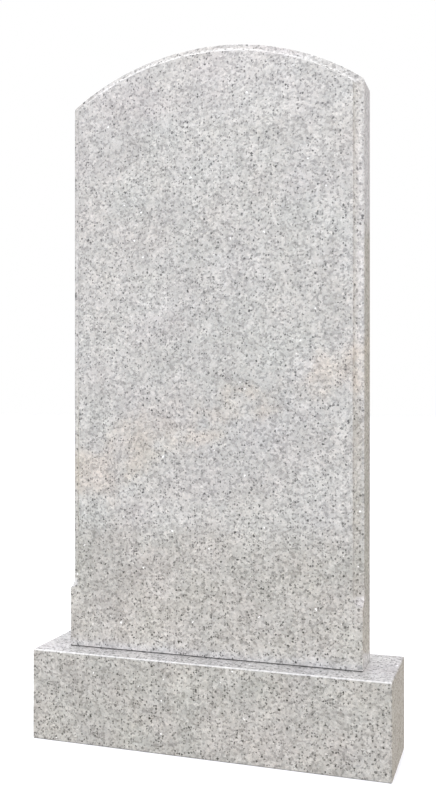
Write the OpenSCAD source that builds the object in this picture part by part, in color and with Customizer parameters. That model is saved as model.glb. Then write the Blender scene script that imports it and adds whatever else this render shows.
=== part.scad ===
// Upright headstone of polished granite: an arched tablet standing on a plain base block.
// A cove is worked into the tablet's front edge, over the arch and down both sides,
// and it ends in a rounded stop a little above the foot.
// Millimetres. The origin is the middle of the base's underside, +Z is up,
// +X is to the right, and the bare inscription face looks along -Y.

/* [Base] */
// Width of the base block, left to right
base_w = 600; // [500:10:900]
// Depth of the base block, front to back
base_d = 150; // [110:5:300]
// Height of the base block
base_h = 150; // [70:5:300]
// Width that the eased arris takes off each face of the base
base_arris = 2; // [0.5:0.25:6]

/* [Tablet] */
// Width of the tablet
tablet_w = 500; // [400:10:900]
// Thickness of the tablet
tablet_t = 70; // [50:5:110]
// Height of the tablet, from its foot to the crown of the arch
tablet_h = 1000; // [600:10:1500]
// Height of the arch's crown above the corners where it springs
arch_rise = 80; // [20:5:180]
// Width that the eased arris takes off each face of the tablet
tablet_arris = 1; // [0.5:0.25:4]

/* [Cove] */
// Radius of the hollow cut along the tablet's front edge
cove_r = 15; // [6:1:30]
// Height of the cove's lowest point above the tablet's foot
stop_h = 100; // [40:5:250]

/* [Hidden] */
$fn = 180;

front_y = -tablet_t / 2;
back_y = tablet_t / 2;
// The arch is one arc through both springing corners and the crown
arch_r = (pow(tablet_w / 2, 2) + pow(arch_rise, 2)) / (2 * arch_rise);
arch_centre_z = tablet_h - arch_r;
spring_z = tablet_h - arch_rise;
// Angle from the crown to a springing corner, and how far the arch's cutters run on past
// it, so that the arch's cove meets the side's in a clean mitre
arch_half_angle = asin(tablet_w / 2 / arch_r);
arch_overrun = 5;
// The cove has its full section from here up, and a quarter ball closes it below
cove_foot_z = stop_h + cove_r;
// The slab is sawn this much too tall, and the arch is then cut out of it
sawn_h = tablet_h + arch_rise;

// Rectangle about the origin with its four corners taken off at 45 degrees
module eased_rectangle(width, height, arris) {
    x = width / 2;
    y = height / 2;
    polygon([
        [x, y - arris], [x - arris, y], [arris - x, y], [-x, y - arris],
        [-x, arris - y], [arris - x, -y], [x - arris, -y], [x, arris - y]
    ]);
}

// Square block about the origin, with an arris on all twelve edges
module eased_block(width, depth, height, arris) {
    intersection() {
        linear_extrude(height, center = true) eased_rectangle(width, depth, arris);
        rotate([90, 0, 0])
            linear_extrude(depth, center = true) eased_rectangle(width, height, arris);
        rotate([90, 0, 90])
            linear_extrude(width, center = true) eased_rectangle(depth, height, arris);
    }
}

// The cove's cutter: a round bar that stands on the front edge with a ball at its foot
module cove_cutter() {
    translate([0, front_y, cove_foot_z]) {
        cylinder(r = cove_r, h = sawn_h - cove_foot_z);
        sphere(r = cove_r);
    }
}

// The slab with square top, its arrises eased and the coves run up both sides
module sawn_slab() {
    difference() {
        translate([0, 0, sawn_h / 2])
            eased_block(tablet_w, tablet_t, sawn_h, tablet_arris);
        for (side = [-1, 1])
            translate([side * tablet_w / 2, 0, 0]) cove_cutter();
    }
}

// Everything under the arch's line, wider than the tablet. The disc that gives the arch
// is wider than the tablet all the way down to where the rectangle takes over.
module under_arch() {
    translate([0, arch_centre_z]) circle(r = arch_r);
    translate([-tablet_w, -tablet_h])
        square([2 * tablet_w, tablet_h + max(arch_centre_z, spring_z / 2)]);
}

// Runs a cutter's profile along the arch's edge, at depth y
module over_arch(y) {
    half_sweep = min(90, arch_half_angle + arch_overrun);
    translate([0, y, arch_centre_z])
        rotate([90, 0, 0])
            rotate_extrude(start = 90 - half_sweep, angle = 2 * half_sweep)
                translate([arch_r, 0]) children();
}

module base() {
    color("silver")
        translate([0, 0, base_h / 2]) eased_block(base_w, base_d, base_h, base_arris);
}

module tablet() {
    color("gainsboro")
        translate([0, 0, base_h])
            difference() {
                intersection() {
                    sawn_slab();
                    rotate([90, 0, 0])
                        linear_extrude(2 * tablet_t, center = true) under_arch();
                }
                over_arch(front_y) circle(r = cove_r);
                over_arch(back_y) rotate(45) square(tablet_arris * sqrt(2), center = true);
            }
}

base();
tablet();
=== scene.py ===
"""Upright headstone of polished grey granite: an arched tablet with a stopped cove worked into
its front edge, standing on a plain base block. Metres, +Z up, the inscription face looks along -Y.
"""
from math import asin, cos, hypot, pi, radians, sin, sqrt

import bmesh
import bpy
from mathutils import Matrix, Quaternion, Vector


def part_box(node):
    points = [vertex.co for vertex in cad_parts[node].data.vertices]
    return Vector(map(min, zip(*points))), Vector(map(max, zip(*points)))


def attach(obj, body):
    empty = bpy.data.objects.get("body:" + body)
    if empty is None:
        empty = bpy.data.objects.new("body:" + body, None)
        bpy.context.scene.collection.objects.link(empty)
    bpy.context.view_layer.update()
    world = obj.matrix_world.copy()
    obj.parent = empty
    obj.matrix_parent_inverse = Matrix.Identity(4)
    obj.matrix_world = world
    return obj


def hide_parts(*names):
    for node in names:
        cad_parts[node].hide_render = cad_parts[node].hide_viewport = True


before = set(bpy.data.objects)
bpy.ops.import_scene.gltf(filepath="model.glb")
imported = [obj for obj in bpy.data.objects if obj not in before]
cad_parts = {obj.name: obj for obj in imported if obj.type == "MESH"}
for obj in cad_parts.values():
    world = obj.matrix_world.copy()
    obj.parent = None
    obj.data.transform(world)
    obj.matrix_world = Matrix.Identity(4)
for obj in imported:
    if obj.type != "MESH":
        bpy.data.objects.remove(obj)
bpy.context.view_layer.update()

# ---------------------------------------------------------------- sizes of the stone
ARCH_RISE = 0.080        # crown of the arch above its springing corners
COVE_R = 0.015           # hollow along the tablet's front edge
STOP_H = 0.100           # lowest point of the cove above the tablet's foot
SPRING_ROUND = 0.0045    # width that rounding takes off each face at a springing corner
TABLET_ARRIS = 0.001     # width that an eased arris takes off each face of the tablet
BASE_ARRIS = 0.002       # and of the base

COVE_STEPS = 16          # facets across the hollow
ARCH_STEPS = 48          # facets from the crown to a springing corner
STOP_STEPS = 11          # rings of the ball that closes the hollow
SPRING_STEPS = 6         # facets round a springing corner
ARRIS_STEPS = 4          # facets round an arris
LAST_RING = radians(82)  # the ball is closed by one small facet below this latitude
SQUARE = radians(60)     # an edge that turns more than this gets an arris
CREASE = radians(38)     # an edge that turns more than this stays crisp
NEAR = 1e-5              # two points closer than this are the same place
EASED = "arris"          # marks the faces of the arrises for the material

tablet_low, tablet_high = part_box("tablet")
base_low, base_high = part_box("base")
half_w = (tablet_high.x - tablet_low.x) / 2
front, back = tablet_low.y, tablet_high.y
foot, crown = tablet_low.z, tablet_high.z
arch_r = (half_w ** 2 + ARCH_RISE ** 2) / (2 * ARCH_RISE)
arch_z = crown - arch_r
cove_foot = foot + STOP_H + COVE_R


# ---------------------------------------------------------------- the pieces
def ease(bm, edges, width, steps):
    """Rounds edges by a width off each face, and gives the new faces."""
    return bmesh.ops.bevel(bm, geom=edges, offset=width, offset_type="OFFSET", affect="EDGES",
                           segments=steps, profile=0.5, material=-1)["faces"]


def finished_piece(bm, name, node, arris):
    """Eases the square edges, and puts the mesh in the scene as the piece that stands for a CAD node."""
    bmesh.ops.recalc_face_normals(bm, faces=bm.faces)
    eased = bm.faces.layers.float.new(EASED)
    square = [e for e in bm.edges if e.calc_face_angle(0) > SQUARE]
    for face in ease(bm, square, arris, ARRIS_STEPS):
        face[eased] = 1.0
    # Rounding must not carry a point outside the CAD's box
    low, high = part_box(node)
    for v in bm.verts:
        v.co = [min(max(at, least), most) for at, least, most in zip(v.co, low, high)]
    for face in bm.faces:
        face.smooth = True
    for edge in bm.edges:
        edge.smooth = edge.calc_face_angle(0) < CREASE
    mesh = bpy.data.meshes.new(name)
    bm.to_mesh(mesh)
    bm.free()
    piece = bpy.data.objects.new(name, mesh)
    bpy.context.scene.collection.objects.link(piece)
    flat = piece.modifiers.new("flat faces stay flat", "WEIGHTED_NORMAL")
    flat.keep_sharp = True
    flat.weight = 100
    piece.data.materials.append(granite)
    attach(piece, "root")
    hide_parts(node)


def base_block():
    bm = bmesh.new()
    bmesh.ops.create_cube(bm, size=1)
    bmesh.ops.scale(bm, vec=base_high - base_low, verts=bm.verts)
    bmesh.ops.translate(bm, vec=(base_low + base_high) / 2, verts=bm.verts)
    finished_piece(bm, "base_block", "base", BASE_ARRIS)


def run_on(bm, edges):
    """Draws these edges out into a new strip of faces, and gives the strip's far edges and points."""
    made = bmesh.ops.extrude_edge_only(bm, edges=edges)["geom"]
    far = [g for g in made if isinstance(g, bmesh.types.BMEdge)]
    points = [g for g in made if isinstance(g, bmesh.types.BMVert)]
    return [e for e in far if e.verts[0] in points and e.verts[1] in points], points


def close_flat(bm, axis, at):
    """Makes one face of the open edges that lie in a plane square to an axis."""
    rim = [e for e in bm.edges
           if len(e.link_faces) < 2 and all(abs(v.co[axis] - at) < NEAR for v in e.verts)]
    bmesh.ops.contextual_create(bm, geom=rim)


def half_tablet(bm):
    """The worked edge of the right half: over the arch, down the side and round the stop."""
    # The section at the crown: the hollow, then the flat edge to the back
    start = bmesh.ops.create_vert(bm, co=(0, front, crown - COVE_R))["vert"][0]
    bmesh.ops.spin(bm, geom=[start], cent=(0, front, crown), axis=(1, 0, 0), dvec=(0, 0, 0),
                   angle=pi / 2, steps=COVE_STEPS)
    outer = max(bm.verts, key=lambda v: v.co.z)
    rear = bmesh.ops.create_vert(bm, co=(0, back, crown))["vert"][0]
    bm.edges.new((outer, rear))

    # Over the arch, as far as the innermost line of the hollow stays inside the mitre
    reach = asin((half_w - COVE_R) / (arch_r - COVE_R))
    made = bmesh.ops.spin(bm, geom=bm.verts[:] + bm.edges[:], cent=(0, 0, arch_z), axis=(0, 1, 0),
                          dvec=(0, 0, 0), angle=reach, steps=ARCH_STEPS)
    last = [g for g in made["geom_last"] if isinstance(g, bmesh.types.BMEdge)]

    # On to the mitre, where each line of the arch meets the same line of the side
    last, points = run_on(bm, last)
    for v in points:
        inset = arch_r - hypot(v.co.x, v.co.z - arch_z)
        v.co.x = half_w - inset
        v.co.z = arch_z + sqrt((arch_r - inset) ** 2 - v.co.x ** 2)
    spring = max(points, key=lambda v: v.co.y)

    # Down the side to the foot of the hollow
    hollow = [e for e in last if max(v.co.y for v in e.verts) < front + COVE_R + NEAR]
    hollow, points = run_on(bm, hollow)
    for v in points:
        v.co.z = cove_foot

    # Round the stop, which is a quarter ball about the corner edge
    centre = Vector((half_w, front, cove_foot))
    for ring in range(1, STOP_STEPS + 1):
        low, high = (LAST_RING * r / STOP_STEPS for r in (ring, ring - 1))
        hollow, points = run_on(bm, hollow)
        for v in points:
            v.co = centre + (v.co - centre) * (cos(low) / cos(high))
            v.co.z = cove_foot - COVE_R * sin(low)
    tip = bmesh.ops.create_vert(bm, co=(half_w, front, cove_foot - COVE_R))["vert"][0]
    ends = (min(points, key=lambda v: v.co.y), max(points, key=lambda v: v.co.y))
    bmesh.ops.contextual_create(bm, geom=hollow + [bm.edges.new((end, tip)) for end in ends])

    # The plain corner below the stop and the back corner, down to the foot
    corners = [bmesh.ops.create_vert(bm, co=(half_w, y, foot))["vert"][0] for y in (front, back)]
    bm.edges.new((tip, corners[0]))
    bm.edges.new((spring, corners[1]))
    bm.edges.new(corners)


def round_springing(bm):
    """Rounds the two blunt corners where the arch springs from the sides."""
    spring_z = arch_z + sqrt(arch_r ** 2 - half_w ** 2)
    blunt = [e for e in bm.edges
             if all(abs(abs(v.co.x) - half_w) < NEAR and abs(v.co.z - spring_z) < NEAR for v in e.verts)]
    bmesh.ops.recalc_face_normals(bm, faces=bm.faces)
    ease(bm, blunt, SPRING_ROUND, SPRING_STEPS)


def arched_tablet():
    bm = bmesh.new()
    half_tablet(bm)
    bmesh.ops.mirror(bm, geom=bm.verts[:] + bm.edges[:] + bm.faces[:], axis="X", merge_dist=NEAR)
    for y in (front, back):
        corner = [v for v in bm.verts if abs(v.co.y - y) < NEAR and abs(v.co.z - foot) < NEAR]
        bm.edges.new(corner)
    for axis, at in ((0, half_w), (0, -half_w), (1, front), (1, back), (2, foot)):
        close_flat(bm, axis, at)
    round_springing(bm)
    finished_piece(bm, "arched_tablet", "tablet", TABLET_ARRIS)


# ---------------------------------------------------------------- granite
# How fine each pattern is: cells or waves in a metre
GRAINS = 300.0
FLAKES = 250.0
PATCHES = 95.0
CLUSTERS = 60.0
CLOUDS = 16.0
WANDER = 330.0
FINE = 900.0
HUES = 14.0
BLUSHES = 11.0
RAGGED = 9.0
UNEVEN = 40.0
RIPPLES = 25.0

# Feldspar and quartz
WANDER_BY = 0.005             # noise of half a unit each way, so about a millimetre in the end
GRAIN_TONES = ((0.0, 0.40), (0.28, 0.51), (0.45, 0.62), (0.80, 0.66), (1.0, 0.74))
WARM_GRAIN = (1.012, 1.0, 0.988)
COOL_GRAIN = (0.988, 1.0, 1.012)
PATCH_TONES = (0.90, 1.10)
FINE_TONES = (0.88, 1.12)
CLOUD_TONES = (0.90, 1.10)
STONE_TINT = (0.778, 0.757, 0.722, 1.0)

# Noise keeps to the middle of its range, so its ends are taken here
NOISE_ENDS = (0.3, 0.7)

# Mica flakes
CROWD = (0.35, 0.65)          # from the emptiest cloud to the most crowded
NO_FLAKE = (0.92, 0.60)       # the share of cells with no flake, in those two
FLAKE_RADIUS = (0.30, 0.72)   # smallest and largest, where 1 is the width of a cell
FLAKE_EDGE = (0.65, 1.10)     # a flake fades out from here to here, where 1 is its own edge
FLAKE_TONES = (0.10, 0.42)
LOW_STONE = (0.10, 0.50)      # between these heights the flakes grow paler
LOW_FLAKE_TONE = 0.80         # their tone at the lower one, as a share of that at the upper

# Colour clouds, and a warm band that crosses the tablet and rises to the right
COOL_HUE, WARM_HUE = (0.990, 1.003, 1.006), (1.012, 0.998, 0.990)
GREEN_BLUSH, PINK_BLUSH = (0.997, 1.007, 0.996), (1.004, 0.993, 1.006)
BAND_HEIGHT = 0.545           # where the band crosses the middle
BAND_SLOPE = 0.40
BAND_RAGGED = 0.25            # how far the band wanders up and down
BAND_REACH = (0.055, 0.005)   # distance from its middle where it begins, and where it is full
BAND_WHERE = (0.33, 0.51)     # it shows where the hue clouds are warm, and grows with them
BAND_TINT = (1.050, 1.0, 0.945, 1.0)

# Painted shade at the joint between the tablet and the base
JOINT_H = 0.0018              # height of the line of painted shade along the tablet's foot
JOINT_FULL = 0.7              # it is at its darkest up to this share of that height
JOINT_CLEAR = 0.0002          # it starts this far above the base, so that the base has none
JOINT_SIDE = (0.004, 0.002)   # it fades between these depths behind the tablet's front
JOINT_SIDE_SHARE = 0.4        # to this much, at the deeper one
# the colour of the painted shade in the joint
JOINT_SHADE_COLOUR = (0.03, 0.03, 0.028, 1.0)

# Painted glints, and the arrises' painted shade and painted highlight
GLINT_SHARE = 0.0016          # share of the cells painted white as glints
GLINT_COLOUR = (0.95, 0.95, 0.95, 1.0)
# painted shade that darkens every eased edge
ARRIS_SHADE = (0.93, 0.93, 0.93, 1.0)
# A painted highlight along the base's top front arris
HIGHLIGHT_COLOUR = (0.86, 0.85, 0.83, 1.0)
HIGHLIGHT_SHARE = 0.43            # how far the painted highlight on the base's top front arris goes to that colour

# Polish
SHINE = (0.05, 0.09)          # roughness of the faces
FLAKE_DULLER = 0.12
ARRIS_DULLER = 0.12
JOINT_SHADE_DULLER = 0.60
FLAKE_DEPTH = -0.06           # mica lies lower, in units of the ripple
RIPPLE_STRENGTH = 0.25
RIPPLE_HEIGHT = 0.0002
STONE_IOR = 1.54


class Weave:
    """Adds shader nodes to a material or a world and joins them up."""

    def __init__(self, tree):
        self.tree = tree

    def add(self, kind, settings=None, **inputs):
        n = self.tree.nodes.new("ShaderNode" + kind)
        for key, value in (settings or {}).items():
            setattr(n, key, value)
        for key, value in inputs.items():
            self.give(n, key.replace("_", " "), value)
        return n

    def give(self, n, key, value):
        """Sets or joins an input, which goes by its name or by i and its number."""
        socket = n.inputs[int(key[1:])] if key[0] == "i" and key[1:].isdigit() else n.inputs[key]
        if isinstance(value, bpy.types.NodeSocket):
            self.tree.links.new(value, socket)
        else:
            socket.default_value = value

    def maths(self, operation, a, b=0.0, c=0.0):
        return self.add("Math", {"operation": operation}, i0=a, i1=b, i2=c).outputs[0]

    def times(self, a, b):
        return self.maths("MULTIPLY", a, b)

    def mix(self, factor, a, b, blend="MIX"):
        n = self.add("Mix", {"data_type": "RGBA", "blend_type": blend, "clamp_factor": True})
        self.give(n, "i0", factor)
        self.give(n, "i6", a)
        self.give(n, "i7", b)
        return n.outputs[2]

    def tinted(self, colour, tint):
        return self.mix(1.0, colour, tint, "MULTIPLY")

    def ramp(self, factor, stops):
        """A run of colours or of greys, from pairs of a place and a colour or grey."""
        n = self.add("ValToRGB", Fac=factor)
        for at, colour in stops[1:-1]:
            n.color_ramp.elements.new(at)
        for element, (at, colour) in zip(n.color_ramp.elements, stops):
            element.position = at
            element.color = (*colour, 1) if isinstance(colour, tuple) else (colour, colour, colour, 1)
        return n.outputs["Color"]

    def fade(self, factor, low, high, ends=(0.0, 1.0)):
        """A run from one colour or grey to another."""
        return self.ramp(factor, tuple(zip(ends, (low, high))))

    def between(self, value, low, high, to_low=0.0, to_high=1.0, smooth=True):
        settings = {"interpolation_type": "SMOOTHSTEP" if smooth else "LINEAR"}
        n = self.add("MapRange", settings, Value=value)
        for key, v in zip(("From Min", "From Max", "To Min", "To Max"), (low, high, to_low, to_high)):
            n.inputs[key].default_value = v
        return n.outputs["Result"]


def granite_material():
    """Polished medium-grained grey granite."""
    material = bpy.data.materials.new("polished granite")
    material.use_nodes = True
    tree = material.node_tree
    w = Weave(tree)
    shader = tree.nodes["Principled BSDF"]
    place = w.add("TexCoord").outputs["Object"]
    along = w.add("SeparateXYZ", Vector=place).outputs

    def noise(scale, detail, roughness=0.5):
        return w.add("TexNoise", Vector=place, Scale=scale, Detail=detail, Roughness=roughness).outputs

    # The grains' outlines wander by about a millimetre
    wander = noise(WANDER, 2.0, 0.6)["Color"]
    wander = w.add("VectorMath", {"operation": "SUBTRACT"}, i0=wander, i1=(0.5, 0.5, 0.5)).outputs[0]
    wander = w.add("VectorMath", {"operation": "SCALE"}, i0=wander, Scale=WANDER_BY).outputs[0]
    place_w = w.add("VectorMath", {"operation": "ADD"}, i0=place, i1=wander).outputs[0]

    # Feldspar and quartz: each grain has its own tone, and the larger ones run together
    grains = w.add("TexVoronoi", Vector=place_w, Scale=GRAINS)
    kind = w.add("SeparateColor", Color=grains.outputs["Color"]).outputs
    colour = w.tinted(w.ramp(kind["Red"], GRAIN_TONES), w.fade(kind["Green"], WARM_GRAIN, COOL_GRAIN))
    patches = w.add("TexVoronoi", Vector=place_w, Scale=PATCHES)
    patch = w.add("SeparateColor", Color=patches.outputs["Color"]).outputs["Red"]
    colour = w.tinted(colour, w.fade(patch, *PATCH_TONES))

    # Mica: small dark flakes, more of them in some clouds than in others
    cloud = noise(CLOUDS, 3.0, 0.6)["Fac"]
    cluster = noise(CLUSTERS, 1.0)["Fac"]
    crowd = w.maths("ADD", w.times(cloud, 0.5), w.times(cluster, 0.5))
    flakes = w.add("TexVoronoi", Vector=place_w, Scale=FLAKES)
    chosen = w.add("SeparateColor", Color=flakes.outputs["Color"]).outputs
    is_flake = w.maths("GREATER_THAN", chosen["Red"], w.between(crowd, *CROWD, *NO_FLAKE, smooth=False))
    radius = w.between(chosen["Green"], 0.0, 1.0, *FLAKE_RADIUS, smooth=False)
    inside = w.maths("DIVIDE", flakes.outputs["Distance"], radius)
    inside = w.between(inside, *FLAKE_EDGE, 1.0, 0.0)
    flake = w.times(is_flake, inside)
    dark = w.fade(chosen["Blue"], *FLAKE_TONES)
    darker_low = w.between(along["Z"], *LOW_STONE, LOW_FLAKE_TONE, 1.0)
    colour = w.mix(flake, colour, w.times(dark, darker_low))

    # A fine grain inside the grains
    colour = w.tinted(colour, w.fade(noise(FINE, 2.0)["Fac"], *FINE_TONES, NOISE_ENDS))

    # Broad soft clouds of tone, and fainter ones of colour
    colour = w.tinted(colour, w.fade(cloud, *CLOUD_TONES, NOISE_ENDS))
    hue = noise(HUES, 2.0)["Fac"]
    colour = w.tinted(colour, w.fade(hue, COOL_HUE, WARM_HUE, NOISE_ENDS))
    blush = noise(BLUSHES, 2.0)["Fac"]
    colour = w.tinted(colour, w.fade(blush, GREEN_BLUSH, PINK_BLUSH, NOISE_ENDS))

    # A faint warm band crosses the tablet, rising to the right
    above = w.maths("SUBTRACT", w.maths("MULTIPLY_ADD", along["X"], -BAND_SLOPE, along["Z"]), BAND_HEIGHT)
    ragged = w.maths("SUBTRACT", noise(RAGGED, 2.0)["Fac"], 0.5)
    above = w.maths("MULTIPLY_ADD", ragged, BAND_RAGGED, above)
    band = w.times(w.between(w.maths("ABSOLUTE", above), *BAND_REACH), w.between(hue, *BAND_WHERE))
    colour = w.mix(band, colour, w.tinted(colour, BAND_TINT))
    colour = w.tinted(colour, STONE_TINT)

    # Painted shade: a dark line along the tablet's foot where it stands on the base, fainter round the
    # sides than in front
    over_base = w.maths("GREATER_THAN", along["Z"], foot + JOINT_CLEAR)
    joint_shade = w.times(over_base, w.between(along["Z"], foot + JOINT_H, foot + JOINT_FULL * JOINT_H))
    side_start, side_end = (front + depth for depth in JOINT_SIDE)
    joint_shade = w.times(joint_shade, w.between(along["Y"], side_start, side_end, JOINT_SIDE_SHARE, 1.0))
    colour = w.mix(joint_shade, colour, JOINT_SHADE_COLOUR)

    # A very few grains are painted white as glints
    clear = w.times(w.maths("LESS_THAN", chosen["Red"], GLINT_SHARE), inside)
    colour = w.mix(clear, colour, GLINT_COLOUR)

    # The eased edges are darkened by painted shade and are duller than the faces, but the base's top
    # front one is made pale by a painted highlight
    eased = w.add("Attribute", {"attribute_name": EASED}).outputs["Fac"]
    # A painted highlight makes the base's top front arris pale
    at_front = w.maths("LESS_THAN", along["Y"], base_low.y + 1.5 * BASE_ARRIS)
    at_top = w.maths("GREATER_THAN", along["Z"], foot - 1.5 * BASE_ARRIS)
    painted_highlight = w.times(eased, w.times(at_front, at_top))
    colour = w.mix(eased, colour, ARRIS_SHADE, "MULTIPLY")
    colour = w.mix(w.times(painted_highlight, HIGHLIGHT_SHARE), colour, HIGHLIGHT_COLOUR)

    # The polish: mica takes less of it than feldspar, and it lies a little unevenly
    shine = w.between(noise(UNEVEN, 2.0)["Fac"], *NOISE_ENDS, *SHINE)
    for part, duller in ((flake, FLAKE_DULLER), (eased, ARRIS_DULLER), (joint_shade, JOINT_SHADE_DULLER)):
        shine = w.maths("MULTIPLY_ADD", part, duller, shine)
    height = w.maths("MULTIPLY_ADD", flake, FLAKE_DEPTH, noise(RIPPLES, 1.0)["Fac"])
    bump = w.add("Bump", Height=height, Strength=RIPPLE_STRENGTH, Distance=RIPPLE_HEIGHT).outputs[0]

    w.give(shader, "Base Color", colour)
    w.give(shader, "Roughness", shine)
    w.give(shader, "Normal", bump)
    shader.inputs["IOR"].default_value = STONE_IOR
    return material


# ---------------------------------------------------------------- studio
# Zones of the room that the stone mirrors. A zone's pair says where it begins and where it is
# full, along one axis of the way that a ray goes, which is one unit long.
AHEAD = (0.25, -0.25)
HIGH_STARTS_AHEAD = (-0.015, 0.015)
AHEAD_TILT = -0.152           # that line dips by this much for each unit ahead
HIGH_STARTS_BEHIND = (0.16, 0.20)
FLOOR_STARTS_BEHIND = (-0.20, -0.26)
STEEP_UP, STEEP_RIGHT, STEEP_FORWARD = (0.74, 0.82), (0.0, 0.10), (-0.22, -0.30)
RIGHT, RIGHT_FORWARD = (0.1, 0.45), (0.45, 0.15)
LEFT, LEFT_BACK = (-0.02, -0.22), (-0.75, -0.45)
LEVEL = (-0.04, 0.08)
DOWN = (-0.40, -0.55)

# What a mirror would show of each zone and each soft box, where 1 is paper white
FLOOR_BEHIND = (0.47, 0.43, 0.37, 1)
LOW_BEHIND = (0.37, 0.345, 0.295, 1)
HIGH_BEHIND = (0.60, 0.585, 0.61, 1)
LOW_AHEAD = (0.52, 0.445, 0.23, 1)
HIGH_AHEAD = (1.52, 1.60, 1.77, 1)
HIGH_RIGHT = (1.84, 1.82, 1.90, 1)
HIGH_LEFT = (0.85, 0.84, 0.90, 1)
STEEP_AHEAD = (0.55, 0.56, 0.60, 1)
GROUND = (0.157, 0.172, 0.177, 1)
LEFT_BOX = (1.80, 1.82, 1.90)
HIGH_FRONT_BOX = (0.56, 0.53, 0.64)
RIGHT_BOX = (1.36, 1.36, 1.47)
FRONT_RIGHT_BOX = (0.95, 0.93, 0.94)
OVERHEAD_BOX = (2.12, 2.17, 2.17)
FAR_OVERHEAD_BOX = (1.40, 1.42, 1.42)
CEILING = 3.2                 # height of the overhead boxes
ACROSS = radians(50)          # and their turn about the upright

FLOOR_HALF = 30               # half the floor's side
FLOOR_COLOUR = (0.95, 0.95, 0.95, 1)
WHITE = (1, 1, 1, 1)

LENS = 41.701                 # millimetres, as the frame's width is
FRAME_WIDTH = 36.0
EYE = (0.4849, -1.4606, 0.5694)
EYE_TURN = radians(18.24)     # the camera looks level, and this far to the left
SIGHT = 100                   # how far the camera sees


def soft_box(name, at, towards, size, shine, turn=0.0):
    """A rectangular lamp. Its shine is the colour that a mirror shows of it, where 1 is paper white."""
    lamp = bpy.data.lights.new(name, "AREA")
    lamp.shape = "RECTANGLE"
    lamp.size, lamp.size_y = size
    strongest = max(shine)
    lamp.color = [c / strongest for c in shine]
    lamp.energy = strongest * pi * size[0] * size[1]
    box = bpy.data.objects.new(name, lamp)
    box.location = at
    aim = (Vector(towards) - Vector(at)).to_track_quat("-Z", "Y")
    box.rotation_euler = (aim @ Quaternion((0, 0, 1), turn)).to_euler()
    box.visible_camera = False
    bpy.context.scene.collection.objects.link(box)


def overhead_box(name, x, y, size, shine):
    soft_box(name, (x, y, CEILING), (x, y, 0), size, shine, ACROSS)


def pale_floor():
    """A floor that only the camera sees, so that it neither lights nor shades the stone."""
    mesh = bpy.data.meshes.new("floor")
    bm = bmesh.new()
    bmesh.ops.create_grid(bm, x_segments=1, y_segments=1, size=FLOOR_HALF)
    bm.to_mesh(mesh)
    bm.free()
    floor = bpy.data.objects.new("floor", mesh)
    bpy.context.scene.collection.objects.link(floor)
    pale = bpy.data.materials.new("pale floor")
    pale.use_nodes = True
    shader = pale.node_tree.nodes["Principled BSDF"]
    shader.inputs["Base Color"].default_value = FLOOR_COLOUR
    shader.inputs["Roughness"].default_value = 1.0
    shader.inputs["Specular IOR Level"].default_value = 0.0
    mesh.materials.append(pale)
    floor.visible_diffuse = False
    floor.visible_glossy = False
    floor.visible_shadow = False


def room_colour(w):
    """What a ray that leaves the stone meets, by its way: the room's zones laid over one another."""
    way = w.add("SeparateXYZ", Vector=w.add("TexCoord").outputs["Generated"]).outputs
    level = w.between(way["Z"], *LEVEL)

    behind = w.mix(w.between(way["Z"], *HIGH_STARTS_BEHIND), LOW_BEHIND, HIGH_BEHIND)
    behind = w.mix(w.between(way["Z"], *FLOOR_STARTS_BEHIND), behind, FLOOR_BEHIND)

    height_ahead = w.maths("MULTIPLY_ADD", way["Y"], AHEAD_TILT, way["Z"])
    ahead = w.mix(w.between(height_ahead, *HIGH_STARTS_AHEAD), LOW_AHEAD, HIGH_AHEAD)
    steep = w.times(w.between(way["Z"], *STEEP_UP), w.between(way["X"], *STEEP_RIGHT))
    ahead = w.mix(w.times(steep, w.between(way["Y"], *STEEP_FORWARD)), ahead, STEEP_AHEAD)
    room = w.mix(w.between(way["Y"], *AHEAD), behind, ahead)

    is_right = w.times(w.between(way["X"], *RIGHT), w.between(way["Y"], *RIGHT_FORWARD))
    room = w.mix(is_right, room, w.mix(level, LOW_AHEAD, HIGH_RIGHT))
    is_left = w.times(w.between(way["X"], *LEFT), w.between(way["Y"], *LEFT_BACK))
    room = w.mix(is_left, room, w.mix(level, LOW_AHEAD, HIGH_LEFT))
    return w.mix(w.between(way["Z"], *DOWN), room, GROUND)


def studio():
    """Plain white behind the stone for the camera, and a room with soft boxes for the stone."""
    pale_floor()
    world = bpy.data.worlds.new("studio")
    bpy.context.scene.world = world
    world.use_nodes = True
    world.node_tree.nodes.clear()
    w = Weave(world.node_tree)
    seen = w.add("Background", Color=WHITE, Strength=1.0)
    lit = w.add("Background", Color=room_colour(w), Strength=1.0)
    to_camera = w.add("LightPath").outputs["Is Camera Ray"]
    mixed = w.add("MixShader", i0=to_camera, i1=lit.outputs[0], i2=seen.outputs[0])
    w.add("OutputWorld", Surface=mixed.outputs[0])

    soft_box("left soft box", at=(-1.65, -0.62, 0.85), towards=(-0.25, -0.03, 0.85),
             size=(0.9, 1.6), shine=LEFT_BOX)
    soft_box("high front soft box", at=(-0.55, -1.71, 2.0), towards=(-0.55, 0, 1.7),
             size=(1.7, 0.9), shine=HIGH_FRONT_BOX)
    soft_box("right soft box", at=(1.15, -1.1, 1.02), towards=(0.25, -0.03, 0.9),
             size=(1.4, 0.9), shine=RIGHT_BOX)
    soft_box("front right soft box", at=(0.98, -1.89, 1.12), towards=(0.25, -0.03, 1.0),
             size=(0.96, 1.25), shine=FRONT_RIGHT_BOX)
    overhead_box("overhead soft box", x=-1.065, y=0.884, size=(3.8, 2.7), shine=OVERHEAD_BOX)
    overhead_box("far overhead soft box", x=0.793, y=0.336, size=(1.25, 0.85), shine=FAR_OVERHEAD_BOX)


def camera():
    cam = bpy.data.cameras.new("camera")
    cam.sensor_width = FRAME_WIDTH
    cam.lens = LENS
    cam.clip_end = SIGHT
    eye = bpy.data.objects.new("camera", cam)
    eye.location = EYE
    eye.rotation_euler = (radians(90), 0, EYE_TURN)
    bpy.context.scene.collection.objects.link(eye)
    bpy.context.scene.camera = eye


granite = granite_material()
base_block()
arched_tablet()
studio()
camera()
bpy.context.scene.view_settings.view_transform = "Standard"
